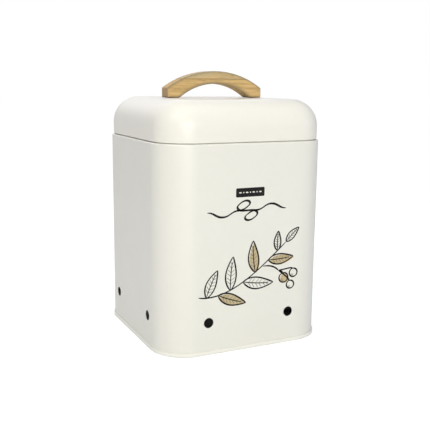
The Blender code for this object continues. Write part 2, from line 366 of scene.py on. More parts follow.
def placed(tree, group, **wires):
    return put(tree, "Group", {"node_tree": groups[group], "label": group}, **wires).outputs


creamCoat = {
    "colour": (0.796, 0.776, 0.705, 1),
    "shade": (0.736, 0.710, 0.634, 1),
    # paler colour of the painted highlight lines
    "wearAndPaintedLight": (0.900, 0.890, 0.840, 1),
    "dust": (0.480, 0.455, 0.400, 1),
    # painted shade: the colour of faces inside the canister
    "thin": (0.600, 0.580, 0.525, 1),
    "roughness": 0.36,
    "pebble": 0.00006,
    "pebbleStrength": 0.35,
    "highlightAndRub": [(wallHigh.z, 0.0012, 260.0)],                # painted highlight lines: level, reach and grain of each band
    "highlightStrength": 0.6,
    "rubShine": 0.08,
    "dusty": [],
    "dustStrength": 0.2,
    "shadeInsideLow": baseLow.z + sheet["recess"] + 0.0002,      # painted shade inside the canister, between these levels
    "shadeInsideHigh": wallHigh.z - 0.0030,
}


def coatedSteel(name, values):
    # Cream powder coat over steel, with paler painted highlight lines along edges that are also a little
    # glossier, dusty and darker down in a seam, and darker inside as painted shade
    material, tree, shader = newMaterial(name, Coat_Weight=0.12, Coat_Roughness=0.22, IOR=1.5)
    place = objectPlace(tree)
    coat = placed(tree, "coat", Vector=place, Colour=values["colour"], Shade=values["shade"],
                  Roughness=values["roughness"])
    colour, rough = coat["Colour"], coat["Roughness"]
    # Painted highlight: paler lines along the rim, the seam and the hem, each also a little glossier
    for level, reach, grain in values["highlightAndRub"]:
        bandMask = placed(tree, "bandMask", Vector=place, Level=level, Reach=reach, Grain=grain)["Mask"]
        colour = blendOf(tree, maths(tree, "MULTIPLY", bandMask, values["highlightStrength"]), colour, values["wearAndPaintedLight"])
        rough = maths(tree, "SUBTRACT", rough, maths(tree, "MULTIPLY", bandMask, values["rubShine"]))
    for level, reach, grain in values["dusty"]:
        dust = placed(tree, "bandMask", Vector=place, Level=level, Reach=reach, Grain=grain)["Mask"]
        colour = blendOf(tree, maths(tree, "MULTIPLY", dust, values["dustStrength"]), colour, values["dust"])
    # Painted shade: faces inside the canister take a darker colour
    normal = tree.nodes.new("ShaderNodeNewGeometry").outputs["Normal"]
    inside = placed(tree, "inside", Vector=place, Normal=normal, Centre=flatReach,
                    Reach=sheet["cornerRadius"] - sheet["thickness"] / 2,
                    Low=values["shadeInsideLow"], High=values["shadeInsideHigh"])
    colour = blendOf(tree, inside["Mask"], colour, values["thin"])
    surface(tree, shader, colour, rough, coat["Height"], values["pebbleStrength"], values["pebble"])
    return material


# Body wall: one sheet rolled square, with a curled rim, a lock seam at the back and two vents a side

wall = {
    **creamCoat,
    "rimBore": 0.0005,          # radius of the hollow inside the curl
    "rimTail": 0.0012,          # straight end of the curl
    "rimSteps": (16, 12),       # facets round it, outside and in the hollow
    "ventRadius": 0.00375,
    "ventAcross": 0.0332,       # from the middle of a side
    "ventHeight": 0.0243,
    "ventFrame": 0.0055,        # half of the square that a vent's own patch fills
    "ventCells": 16,
    "ventRings": (8, 4),        # over the flat and round the edge
    "ventEdge": 0.00014,        # rounding of the coat at the vent's edge
    "ventBreakout": 0.0008,     # how much wider the hole is inside
    "lockWidth": 0.0058,
    "lockRise": 0.0009,
    "lockSoftness": 0.00025,    # of the ridge's sides
    "lockRamp": 0.0006,         # at its two ends
    "grooveWidth": 0.0007,
    "grooveDepth": 0.0002,
}


def wallStops():
    # Stops along each side's flat, fine over the vents and, at the back, over the lock seam
    near, far = wall["ventAcross"] - wall["ventFrame"], wall["ventAcross"] + wall["ventFrame"]
    cells, lock, groove = wall["ventCells"], wall["lockWidth"], wall["grooveWidth"]
    left, right = (-flatReach, 2, -far, cells, -near), (near, cells, far, 2, flatReach)
    plain = spread(*left, 16, *right)
    seam = spread(*left, 6, -lock, 14, -groove, 16, groove, 14, lock, 6, *right)
    return [plain, plain, seam, plain]


def ventPatch(side, across):
    # Rings from the square's edge in to the round hole, through the sheet and out to the square inside.
    # Ring point = (1 - w) * square point + w * circle point, then a quarter round of the edge.
    cells, frameHalf = wall["ventCells"], wall["ventFrame"]
    radius, edge, thick = wall["ventRadius"], wall["ventEdge"], sheet["thickness"]
    run = np.linspace(-1, 1, cells, endpoint=False)
    one = np.ones(cells)
    square = [np.stack(pair, -1) for pair in ((run, -one), (one, run), (-run, one), (-one, -run))]
    square = np.concatenate(square) * frameHalf
    circle = unitCircle(np.radians(np.linspace(-135, 225, 4 * cells, endpoint=False)))
    flatRings, edgeRings = wall["ventRings"]
    share = np.linspace(0, 1, flatRings)[:, None, None]
    turn = np.radians(np.linspace(0, 90, edgeRings + 1))[1:, None, None]

    def ringsTo(hole):
        # The rings of one face of the sheet, down to a hole of that radius
        flat = (1 - share) * square + share * circle * (hole + edge)
        return np.concatenate((flat, circle * (hole + edge * (1 - np.sin(turn)))))

    # The punch breaks out wider inside than it goes in
    rings = np.concatenate((ringsTo(radius), ringsTo(radius + wall["ventBreakout"])[::-1]))
    depth = np.concatenate((np.zeros(len(share)), edge * (1 - np.cos(turn[:, 0, 0]))))
    depth = np.concatenate((depth, thick - depth[::-1]))
    start = math.radians(90 * side - 90)
    normal = np.array((math.cos(start), math.sin(start), 0))
    tangent = np.array((-normal[1], normal[0], 0))
    s, z = rings[..., 0] + across, rings[..., 1] + wall["ventHeight"]
    out = (wallHigh.x - depth)[:, None]
    points = normal * out[..., None] + tangent * s[..., None] + np.array((0, 0, 1)) * z[..., None]
    return points, quadGrid(len(rings), 4 * cells, closeColumns=True).tolist()


def makeBodyWall():
    # The section goes up the outside, over the curl, back through its hollow and down the inside
    thick, bore, ramp = sheet["thickness"], wall["rimBore"], wall["lockRamp"]
    curl = bore + thick
    curlLevel = wallHigh.z - curl
    low, high = wall["ventHeight"] - wall["ventFrame"], wall["ventHeight"] + wall["ventFrame"]
    ridgeFoot, ridgeTop = baseHigh.z + sheet["gap"], curlLevel - wall["rimTail"] - sheet["gap"]
    rows = spread(wallLow.z, 3, ridgeFoot, 2, ridgeFoot + ramp, 4, low, wall["ventCells"], high, 24,
                  ridgeTop - ramp, 2, ridgeTop, 2, curlLevel)
    rimSteps, hollowSteps = wall["rimSteps"]
    rim = arcOf((curl, curlLevel), curl, 180, 0, rimSteps)[1:]
    tailEnd = curlLevel - wall["rimTail"]
    tail = np.array(((2 * curl, tailEnd), (2 * curl - thick, tailEnd)))
    hollow = arcOf((curl, curlLevel), bore, 0, 180, hollowSteps)
    outer = np.stack((np.zeros(len(rows)), rows), -1)
    inner = np.stack((np.full(len(rows), thick), rows[::-1]), -1)
    profile = np.concatenate((outer, rim, tail, hollow[:-1], inner))
    outline = planOutline(wallStops())
    # The groove outside is a bell curve across the back, and the ridge inside is a plateau
    back = outline["sides"] == 2
    s = outline["along"]
    groove = np.where(back, wall["grooveDepth"] * np.exp(-((s / (wall["grooveWidth"] / 2)) ** 2)), 0)
    edge, soft = wall["lockWidth"] / 2, wall["lockSoftness"]
    plateau = np.where(back, 0.5 * (np.tanh((s + edge) / soft) - np.tanh((s - edge) / soft)), 0)
    z = profile[:, 1]
    outside = np.arange(len(profile)) < len(rows)
    inside = np.arange(len(profile)) >= len(profile) - len(rows)
    grooveRows = np.where(outside & (z > baseHigh.z) & (z < curlLevel - ramp), 1.0, 0.0)
    ridgeEnds = np.clip((z - ridgeFoot) / ramp, 0, 1) * np.clip((ridgeTop - z) / ramp, 0, 1)
    ridgeRows = np.where(inside, ridgeEnds, 0)
    shift = grooveRows[:, None] * groove + wall["lockRise"] * ridgeRows[:, None] * plateau
    points = carried(profile, outline, shift)
    faces = quadGrid(len(profile), len(s), closeRows=True, closeColumns=True)
    middle = points.reshape(-1, 3)[faces].mean(axis=1)
    # Faces under a vent's square patch go, on both faces of the sheet
    level = np.abs(middle[:, 2] - wall["ventHeight"]) < wall["ventFrame"]
    small = np.minimum(np.abs(middle[:, 0]), np.abs(middle[:, 1]))
    large = np.maximum(np.abs(middle[:, 0]), np.abs(middle[:, 1]))
    under = level & (np.abs(small - wall["ventAcross"]) < wall["ventFrame"]) & (large > flatReach)
    parts = [(points, faces[~under].tolist())]
    for side in range(4):
        parts += [ventPatch(side, sign * wall["ventAcross"]) for sign in (-1, 1)]
    material = coatedSteel("creamCoatBody", wall)
    return pressing("bodyWall", *joined(parts), "body", "body_wall", material, 2 * sheet["merge"])


makeBodyWall()


# Base panel: a stepped floor whose edge hooks round the foot of the wall as a double seam

base = {
    **creamCoat,
    # painted light: a paler copy of the cream coat, so that the seam's bead shows lighter
    "colour": (0.860, 0.836, 0.764, 1),
    "shade": (0.832, 0.806, 0.732, 1),
    "highlightAndRub": [(baseHigh.z - 0.0004, 0.0011, 900.0)],       # painted highlight line along the seam's upper edge
    "dusty": [(baseLow.z + sheet["recess"], 0.0006, 300.0), (baseLow.z + 0.0002, 0.0012, 900.0)],
    "dustStrength": 0.12,
    "seamHeight": 0.0030,
    "seamBend": 0.0008,
    "bend": 0.0012,             # between the seam and the panel
    "margin": 0.0110,           # flat ring round the step
    "step": 0.0010,
    "stepRun": 0.0018,
    "coatCrack": 0.00002,       # left between the seam's outer leg and the wall
}


def makeBasePanel():
    # The section goes over the panel's top, round the seam's two legs and back along the underside
    thick, gap, recess, seamBend = sheet["thickness"], sheet["gap"], sheet["recess"], base["seamBend"]
    outer = -(gap + thick)
    legOut = thick + gap
    legIn = legOut + thick
    bend, inBend = base["bend"], base["bend"] - thick
    floorTop = recess + thick
    stepOut = legIn + base["margin"]
    share = np.linspace(0, 1, 9)
    stepped = np.stack((stepOut + base["stepRun"] * share, base["step"] * halfWave(share)), -1)
    top = stepped[::-1] + (0, floorTop)
    under = stepped + (0, recess)
    # The coat bridges the crack between the seam's outer leg and the wall
    legFace = -base["coatCrack"]
    half = (legFace - outer) / 2
    profile = np.concatenate((
        top,
        arcOf((legOut + bend, floorTop - bend), bend, 90, 180, 6),
        ((legOut, thick), (legFace, thick)),
        arcOf((outer + half, base["seamHeight"] - half), half, 0, 180, 10),
        arcOf((outer + seamBend, seamBend), seamBend, 180, 270, 8),
        arcOf((legIn - seamBend, seamBend), seamBend, 270, 360, 8),
        arcOf((legIn + inBend, recess - inBend), inBend, 180, 90, 6),
        under,
    ))[::-1]
    points = carried(profile, plainOutline())
    points, faces = closedByPoles(points, (0, 0, profile[0, 1]), (0, 0, profile[-1, 1]))
    return pressing("basePanel", points, faces, "body", "base_panel", coatedSteel("litCreamCoatBase", base))


makeBasePanel()


# Lid: a drawn shell with a wide round edge and a turned-in hem, bored for the handle's screws

lid = {
    **creamCoat,
    # painted light: a paler copy of the cream coat, standing in for the brighter light on the lid
    "colour": (0.842, 0.813, 0.734, 1),
    "shade": (0.784, 0.753, 0.670, 1),
    # painted highlight line along the hem
    "highlightAndRub": [(lidLow.z, 0.0016, 240.0)],
    "straight": 0.0095,
    "edgeRadius": 0.0200,
    "flatRing": 0.0006,         # flat all round, between the round edge and the middle
    "hemBore": 0.0003,
    "hemTail": 0.0012,
    "boreRadius": 0.0021,
    "boreSteps": 32,
}
lidCoat = coatedSteel("litCreamCoatLid", lid)
screwAcross = sum(corner.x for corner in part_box("handle_screw_right")) / 2


def makeLidShell():
    # The section goes down inside the round edge, round the hem's hollow and up over the outside
    thick, bottom, inset = sheet["thickness"], lidLow.z, wallHigh.x - lidHigh.x
    wallTop = bottom + lid["straight"]
    edgeInset = inset + lid["edgeRadius"]
    hemRadius = lid["hemBore"] + thick
    hem = (inset + hemRadius, bottom + hemRadius)
    tailTop = hem[1] + lid["hemTail"]
    innerInset = inset + 2 * hemRadius
    flatInset, flatUnder = edgeInset + lid["flatRing"], lidHigh.z - thick
    # Rolling-ball edge: a quarter circle of the edge radius, which is carried round the plan by its inset
    profile = np.concatenate((
        ((flatInset, flatUnder),),
        arcOf((edgeInset, wallTop), lid["edgeRadius"] - thick, 90, 180, 30),
        arcOf(hem, lid["hemBore"], 180, 360, 10),
        ((innerInset - thick, tailTop), (innerInset, tailTop)),
        arcOf(hem, hemRadius, 360, 180, 14),
        arcOf((edgeInset, wallTop), lid["edgeRadius"], 180, 90, 36),
        ((flatInset, lidHigh.z),),
    ))
    points = carried(profile, plainOutline())
    faces = quadGrid(*points.shape[:2], closeColumns=True).tolist()
    mesh = bpy.data.meshes.new("lidDraft")
    mesh.from_pydata(points.reshape(-1, 3).tolist(), [], faces)
    bm = bmesh.new()
    bm.from_mesh(mesh)
    bpy.data.meshes.remove(mesh)
    bore = lid["boreRadius"] * unitCircle(np.linspace(0, math.tau, lid["boreSteps"], endpoint=False))
    for side in (-1, 1):
        circle = bore + (side * screwAcross, 0)
        upper = [bm.verts.new((x, y, lidHigh.z)) for x, y in circle]
        lower = [bm.verts.new((x, y, flatUnder)) for x, y in circle]
        for k in range(len(circle)):
            n = (k + 1) % len(circle)
            bm.faces.new((upper[k], upper[n], lower[n], lower[k]))
    # The flat middle, with its two bores, fills what is still open at each of its two levels
    for level in (lidHigh.z, flatUnder):
        rims = [e for e in bm.edges if e.is_boundary and all(abs(v.co.z - level) < 1e-7 for v in e.verts)]
        bmesh.ops.triangle_fill(bm, edges=rims, use_beauty=True, use_dissolve=False)
    bm.verts.index_update()
    points = [tuple(v.co) for v in bm.verts]
    faces = [[v.index for v in f.verts] for f in bm.faces]
    bm.free()
    return pressing("lidShell", points, faces, "lid", "lid_shell", lidCoat)


makeLidShell()


# Plug ring: a hoop inside the lid's wall, joggled over the hem, which drops into the body's rim

plug = {
    "skirt": 0.0032,            # inset of the part that drops into the rim
    "hemBore": 0.0003,
    "hemTail": 0.0010,
    "joggle": 0.0020,
    "joggleFoot": 0.0024,       # above the lid's hem
}


def makePlugRing():
    # The section goes round the hem, up the outside over the joggle to the band's top and down the inside
    thick = sheet["thickness"]
    hemRadius = plug["hemBore"] + thick
    skirt, band = plug["skirt"], wallHigh.x - plugHigh.x
    hem = (skirt + hemRadius, plugLow.z + hemRadius)
    tailTop = hem[1] + plug["hemTail"]
    share = np.linspace(0, 1, 11)
    level = lidLow.z + plug["joggleFoot"] + plug["joggle"] * share
    joggle = np.stack((skirt + (band - skirt) * halfWave(share), level), -1)
    profile = np.concatenate((
        arcOf(hem, hemRadius, 360, 180, 14),
        joggle,
        ((band, plugHigh.z), (band + thick, plugHigh.z)),
        joggle[::-1] + (thick, 0),
        arcOf(hem, plug["hemBore"], 180, 360, 10),
        ((skirt + 2 * hemRadius - thick, tailTop), (skirt + 2 * hemRadius, tailTop)),
    ))
    points = carried(profile, plainOutline())
    faces = quadGrid(*points.shape[:2], closeRows=True, closeColumns=True).tolist()
    return pressing("lidPlugRing", points, faces, "lid", "lid_plug_ring", lidCoat)


makePlugRing()
print("sheet metal done")


# Handle: an arch sawn from a light board


def circleThrough(halfSpan, sag):
    # Radius of the arc that is halfSpan wide each way and sag deep: (halfSpan^2 + sag^2) / 2 sag
    return (halfSpan ** 2 + sag ** 2) / (2 * sag)


def arcRing(halfSpan, sag, crown):
    # Radius and centre height of that arc with its crown at a height
    radius = circleThrough(halfSpan, sag)
    return radius, crown - radius


grip = {
    "endHeight": 0.0073,
    "archHeight": 0.0105,
    "footLength": 0.0102,
    "edgeRadius": 0.0008,
    "edgeSteps": 6,             # facets round an edge
    "lengthSteps": 120,
    "kinkSoftness": 0.0003,     # where the arch runs into the foot
    "pilotRadius": 0.0021,
    "pilotShare": 0.82,         # of the wood over the screw
    "light": (0.660, 0.448, 0.196, 1),
    "dark": (0.455, 0.292, 0.104, 1),
    "upperBoard": (0.505, 0.410, 0.245, 1),
    "glue": (0.330, 0.215, 0.095, 1),
    "pores": (0.270, 0.165, 0.070, 1),
    "footShadow": (0.110, 0.070, 0.035, 1),
    "endGrain": (0.365, 0.255, 0.138, 1),
    "arrisWearShade": (0.270, 0.215, 0.125, 1),
    "band": (22.0, 190.0, 3.0),             # noise: scale along the board, scale across it, detail
    "streak": (45.0, 880.0, 4.0),
    "fibre": (110.0, 2300.0, 3.0),
    "pore": (130.0, 1500.0, 1.0),
    "poreRange": (0.60, 0.70),
    "bandShare": 0.34,                      # of the tone
    "streakShare": 0.60,
    "fibreShare": 0.26,
    "toneRange": (0.43, 0.76),
    "ringStep": 0.0031,
    "ringBend": 0.0060,
    "ringTilt": 0.45,
    "ringRange": (0.42, 0.66, 0.01, 0.06),
    "boardShift": (0.31, 0.17, 0.23),       # so that the upper board has grain of its own
    "boardGrey": (0.36, 0.66, 0.85, 0.20),
    "glueLevel": 0.0060,                    # below the crown
    "glueWidth": 0.0005,
    "glueShare": 0.75,
    "poreShare": 0.42,
    "endFrom": 0.0006,                      # end grain, in from the end
    "endTo": 0.0001,
    "endShare": 0.80,
    "soleLevel": 0.0003,                    # painted contact shadow, up from the foot
    "soleReach": 0.0008,
    "soleShare": 0.85,
    "arrisFrom": 0.0018,                    # in from the front and back faces
    "arrisTo": 0.0004,
    "outerWearShade": (0.0020, 0.85),            # how far down a face the wearing and the painted shade go, and how strong they are
    "innerWearShade": (0.0032, 0.90),
    "roughRange": (0.30, 0.75, 0.52, 0.66),
    "poreDepth": -0.7,
    "fibreHeight": 0.6,
    "relief": 0.00018,
    "reliefStrength": 0.4,
}
gripRise = gripHigh.z - gripLow.z
innerHalf = gripHigh.x - grip["footLength"]


def lightWood(name):
    # Two straight-grained boards glued one over the other. Noise drawn out along X makes the fibres, and
    # growth rings are a sine of the distance from a far pith, bent and faded by slow noise.
    material, tree, shader = newMaterial(name, Specular_IOR_Level=0.3)
    place = objectPlace(tree)
    across = split(tree, place)
    height = across["Z"]
    glueLevel, glueHalf = gripHigh.z - grip["glueLevel"], grip["glueWidth"] / 4
    above = ranged(tree, height, glueLevel - glueHalf, glueLevel + glueHalf)
    moved = put(tree, "VectorMath", {"operation": "SCALE"}, i0=grip["boardShift"], Scale=above).outputs[0]
    board = put(tree, "VectorMath", {"operation": "ADD"}, i0=place, i1=moved).outputs[0]

    def drawnOut(key):
        lengthScale, acrossScale, detail = grip[key]
        stretch = put(tree, "Mapping", Vector=board, Scale=(lengthScale, acrossScale, acrossScale))
        return noise(tree, stretch.outputs[0], 1.0, detail, 0.6)

    band, streak, fibre = drawnOut("band"), drawnOut("streak"), drawnOut("fibre")
    pore = ranged(tree, drawnOut("pore"), *grip["poreRange"])
    boardPlace = split(tree, board)
    far = maths(tree, "MULTIPLY_ADD", boardPlace["Y"], grip["ringTilt"], boardPlace["Z"])
    far = maths(tree, "MULTIPLY_ADD", band, grip["ringBend"], far)
    ring = maths(tree, "SINE", maths(tree, "MULTIPLY", far, math.tau / grip["ringStep"]))
    ring = maths(tree, "MULTIPLY", ring, ranged(tree, band, *grip["ringRange"]))
    tone = maths(tree, "MULTIPLY", fibre, grip["fibreShare"])
    tone = maths(tree, "MULTIPLY_ADD", streak, grip["streakShare"], tone)
    tone = maths(tree, "ADD", maths(tree, "MULTIPLY_ADD", band, grip["bandShare"], tone), ring)
    colour = blendOf(tree, ranged(tree, tone, *grip["toneRange"]), grip["dark"], grip["light"])
    grey = maths(tree, "MULTIPLY", above, ranged(tree, band, *grip["boardGrey"]))
    colour = blendOf(tree, grey, colour, grip["upperBoard"])
    # The front and back faces darken towards the arrises, from handling and as painted shade along them. The
    # arrises are a distance from two circles
    depth = maths(tree, "ABSOLUTE", across["Y"])
    faceward = ranged(tree, depth, gripHigh.y - grip["arrisFrom"], gripHigh.y - grip["arrisTo"])
    outer = arcRing(gripHigh.x, gripRise - grip["endHeight"], gripHigh.z)
    inner = arcRing(innerHalf, grip["archHeight"], gripLow.z + grip["archHeight"])
    wearAndPaintedLight = 0.0
    for ring, sign, wearShade in ((outer, 1.0, grip["outerWearShade"]), (inner, -1.0, grip["innerWearShade"])):
        (radius, centre), (width, strength) = ring, wearShade
        up = maths(tree, "SUBTRACT", height, centre)
        away = lengthOf(tree, put(tree, "CombineXYZ", X=across["X"], Y=up).outputs[0])
        inward = maths(tree, "MULTIPLY", maths(tree, "SUBTRACT", radius, away), sign)
        wearAndPaintedLight = maths(tree, "MAXIMUM", ranged(tree, inward, 0.0, width, strength, 0.0), wearAndPaintedLight)
    colour = blendOf(tree, maths(tree, "MULTIPLY", wearAndPaintedLight, faceward), colour, grip["arrisWearShade"])
    away = maths(tree, "ABSOLUTE", maths(tree, "SUBTRACT", height, glueLevel))
    glue = ranged(tree, away, glueHalf, grip["glueWidth"], grip["glueShare"], 0.0)
    colour = blendOf(tree, glue, colour, grip["glue"])
    colour = blendOf(tree, maths(tree, "MULTIPLY", pore, grip["poreShare"]), colour, grip["pores"])
    along = maths(tree, "ABSOLUTE", across["X"])
    endways = ranged(tree, along, gripHigh.x - grip["endFrom"], gripHigh.x - grip["endTo"])
    colour = blendOf(tree, maths(tree, "MULTIPLY", endways, grip["endShare"]), colour, grip["endGrain"])
    # Painted contact shadow where the feet sit on the lid
    soleLevel = gripLow.z + grip["soleLevel"]
    footShadowMask = ranged(tree, height, soleLevel, soleLevel + grip["soleReach"], grip["soleShare"], 0.0)
    colour = blendOf(tree, footShadowMask, colour, grip["footShadow"])
    relief = maths(tree, "MULTIPLY", fibre, grip["fibreHeight"])
    relief = maths(tree, "MULTIPLY_ADD", pore, grip["poreDepth"], relief)
    rough = ranged(tree, streak, *grip["roughRange"])
    surface(tree, shader, colour, rough, relief, grip["reliefStrength"], grip["relief"])
    return material


def gripTop(x):
    # Height above the feet on a circle through both ends and the crown
    radius = circleThrough(gripHigh.x, gripRise - grip["endHeight"])
    return gripRise - radius + np.sqrt(radius ** 2 - x ** 2)


def gripUnder(x):
    # The inner circle, and the flat foot where the circle would be below it, joined by a soft maximum
    radius = circleThrough(innerHalf, grip["archHeight"])
    arch = grip["archHeight"] - radius + np.sqrt(radius ** 2 - x ** 2)
    return 0.5 * (arch + np.sqrt(arch ** 2 + grip["kinkSoftness"] ** 2))


def applyModifiers(piece):
    # The piece's mesh as its modifiers leave it
    old = piece.data
    graph = bpy.context.evaluated_depsgraph_get()
    finished = bpy.data.meshes.new_from_object(piece.evaluated_get(graph))
    piece.modifiers.clear()
    piece.data = finished
    bpy.data.meshes.remove(old)


def makeHandle():
    # Section at x: a rectangle grown by rho = sqrt(r^2 - d^2), where d is how far x is into the rounded end
    r, steps = grip["edgeRadius"], grip["edgeSteps"]
    straight, deep = gripHigh.x - r, gripHigh.y - r
    end = straight + r * np.sin(-np.radians(np.linspace(-90, 0, steps + 1)))
    x = np.concatenate((-end, np.linspace(-straight, straight, grip["lengthSteps"] + 1)[1:-1], end[::-1]))
    rho = np.sqrt(np.maximum(r ** 2 - np.maximum(np.abs(x) - straight, 0) ** 2, 0))[:, None]
    top, under = gripTop(np.clip(x, -gripHigh.x, gripHigh.x)), gripUnder(x)
    middle, tall = ((top + under) / 2)[:, None], ((top - under) / 2 - r)[:, None]
    angle = np.radians(np.concatenate([np.linspace(a, a + 90, steps + 1) for a in (-90, 0, 90, 180)]))
    cornerY, cornerZ = np.repeat((1, 1, -1, -1), steps + 1), np.repeat((-1, 1, 1, -1), steps + 1)
    y = cornerY * deep + rho * np.cos(angle)
    z = middle + cornerZ * tall + rho * np.sin(angle) + gripLow.z
    points = np.stack((np.broadcast_to(x[:, None], y.shape), y, z), -1)
    rows, columns = points.shape[:2]
    faces = quadGrid(rows, columns, closeColumns=True).tolist()
    faces += [list(range(columns))[::-1], list(range((rows - 1) * columns, rows * columns))]
    wood = lightWood("lightBoard")
    piece = pieceOf("archHandle", points, faces, "lid", ["handle"], "light_wood", wood, 35, 1e-6)
    size = {"radius1": grip["pilotRadius"], "radius2": grip["pilotRadius"]}
    size["depth"] = 2 * grip["pilotShare"] * float(gripTop(screwAcross))
    for side in (-1, 1):
        place = Matrix.Translation((side * screwAcross, 0, gripLow.z))
        bm = bmesh.new()
        bmesh.ops.create_cone(bm, cap_ends=True, segments=32, matrix=place, **size)
        mesh = bpy.data.meshes.new("pilot")
        bm.to_mesh(mesh)
        bm.free()
        drill = bpy.data.objects.new("pilot", mesh)
        bpy.context.scene.collection.objects.link(drill)
        cut = piece.modifiers.new("pilot", "BOOLEAN")
        cut.operation, cut.solver, cut.object = "DIFFERENCE", "EXACT", drill
        applyModifiers(piece)
        bpy.data.objects.remove(drill)
    return piece


makeHandle()


# Screws and washers that hold the handle from inside the lid

screw = {
    "headRadius": 0.0039,
    "headHeight": 0.0024,
    "headRound": 0.0002,        # at the head's rim, next to the washer
    "domeShares": (0.04, 0.62),     # height of the dome over its middle and rim, in head heights
    "rootRadius": 0.00125,
    "crestRadius": 0.00178,
    "crestShape": (1.6, 3.4),   # flat top and steepness of the thread
    "pitch": 0.0014,
    "threadFrom": 0.0004,       # above the head's seat
    "tipGap": 0.0001,           # between the last ring and the tip
    "tipShare": 0.04,           # least radius there, in full radii
    "pointLength": 0.0022,
    "recessDepth": 0.0015,
    "recessReach": 0.0021,
    "recessWidth": 0.00048,
    "recessSlopes": (0.0003, 0.0007),       # across an arm, along it
    "steps": 56,                # round the screw
    "headRings": 22,
    "shankRings": 90,
    "washerSteps": 64,
    "washerGap": 0.0003,        # between the washer's bore and the thread
    "washerRound": 0.0002,
    "dull": (0.58, 0.58, 0.55, 1),
    "bright": (0.78, 0.78, 0.77, 1),
    "cloudScale": 320.0,
    "cloudRough": (0.30, 0.70, 0.24, 0.40),
    "markScales": (400.0, 400.0, 2600.0),
    "markDepth": 0.00005,
}


def zincPlate(name):
    # Bright zinc with turning marks round the screws' axes and a slow cloudiness
    material, tree, shader = newMaterial(name, Metallic=1.0, Specular_IOR_Level=0.5)
    place = objectPlace(tree)
    cloud = noise(tree, place, screw["cloudScale"], 3.0)
    marks = put(tree, "Mapping", Vector=place, Scale=screw["markScales"]).outputs[0]
    colour = blendOf(tree, cloud, screw["dull"], screw["bright"])
    rough = ranged(tree, cloud, *screw["cloudRough"])
    surface(tree, shader, colour, rough, noise(tree, marks, 2.0, 3.0), 0.25, screw["markDepth"])
    return material


def turnedPoints(radius, height, angle):
    # (r cos a, r sin a, z), where radius and height may change from ring to ring and round a ring
    radius, height, angle = np.broadcast_arrays(radius, height, angle)
    return np.stack((radius * np.cos(angle), radius * np.sin(angle), height), -1)


def makeScrew(node, name):
    low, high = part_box(node)
    centre = ((low.x + high.x) / 2, (low.y + high.y) / 2, 0)
    seat = low.z + screw["headHeight"]
    angle = np.linspace(0, math.tau, screw["steps"], endpoint=False)[None]
    # Head: a shallow dome on a rounded rim. Recess: crossed arms, deepest in the middle
    share = np.linspace(0.02, 1, screw["headRings"])[:, None]
    radius = screw["headRadius"] * share
    x, y = np.abs(radius * np.cos(angle)), np.abs(radius * np.sin(angle))
    across, along = screw["recessSlopes"]
    slot = np.clip((screw["recessWidth"] - np.minimum(x, y)) / across + 0.5, 0, 1)
    slot = slot * np.clip((screw["recessReach"] - np.maximum(x, y)) / along, 0, 1)
    middle, rise = screw["domeShares"]
    head = low.z + screw["headHeight"] * (middle + rise * share ** 5) + screw["recessDepth"] * slot
    rim = np.array((
        (screw["headRadius"], seat - screw["headRound"]),
        (screw["headRadius"] - screw["headRound"], seat),
        (screw["crestRadius"], seat),
    ))
    # Thread: the radius rises and falls once each pitch, turned once round per pitch
    z = np.linspace(seat + screw["threadFrom"], high.z - screw["tipGap"], screw["shankRings"])[:, None]
    phase = (z - seat) / screw["pitch"] - angle / math.tau
    flat, steep = screw["crestShape"]
    ridge = np.clip(flat - steep * np.abs(phase - np.floor(phase) - 0.5), 0, 1)
    full = screw["rootRadius"] + (screw["crestRadius"] - screw["rootRadius"]) * ridge
    shank = full * np.clip((high.z - z) / screw["pointLength"], screw["tipShare"], 1)
    rings = ((radius, head), (rim[:, :1], rim[:, 1:]), (shank, z))
    points = np.concatenate([turnedPoints(*ring, angle) for ring in rings]) + centre
    points, faces = closedByPoles(points, (*centre[:2], head[0, 0]), (*centre[:2], high.z))
    return pieceOf(name, points, faces, "lid", [node], "zinc_plate", zinc, 38, 1e-7)


def makeWasher(node, name):
    # A flat ring with rounded edges, turned about the screw
    low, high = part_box(node)
    centre = ((low.x + high.x) / 2, (low.y + high.y) / 2, 0)
    soft = screw["washerRound"]
    outer, bore = (high.x - low.x) / 2 - soft, screw["crestRadius"] + screw["washerGap"] + soft
    corners = ((outer, low.z + soft), (outer, high.z - soft), (bore, high.z - soft), (bore, low.z + soft))
    arcs = [arcOf(corner, soft, 90 * k - 90, 90 * k, 4) for k, corner in enumerate(corners)]
    profile = np.concatenate(arcs)
    angle = np.linspace(0, math.tau, screw["washerSteps"], endpoint=False)
    points = turnedPoints(profile[:, :1], profile[:, 1:], angle) + centre
    faces = quadGrid(*points.shape[:2], closeRows=True, closeColumns=True).tolist()
    return pieceOf(name, points, faces, "lid", [node], "zinc_plate", zinc, 40, 1e-7)


zinc = zincPlate("zincPlate")
for word, side in (("left", "Left"), ("right", "Right")):
    makeScrew("handle_screw_" + word, "handleScrew" + side)
    makeWasher("handle_washer_" + word, "handleWasher" + side)
print("handle and fixings done")


# Print on the front: a blank bar, a flourish and a herb sprig with berries, as thin ink

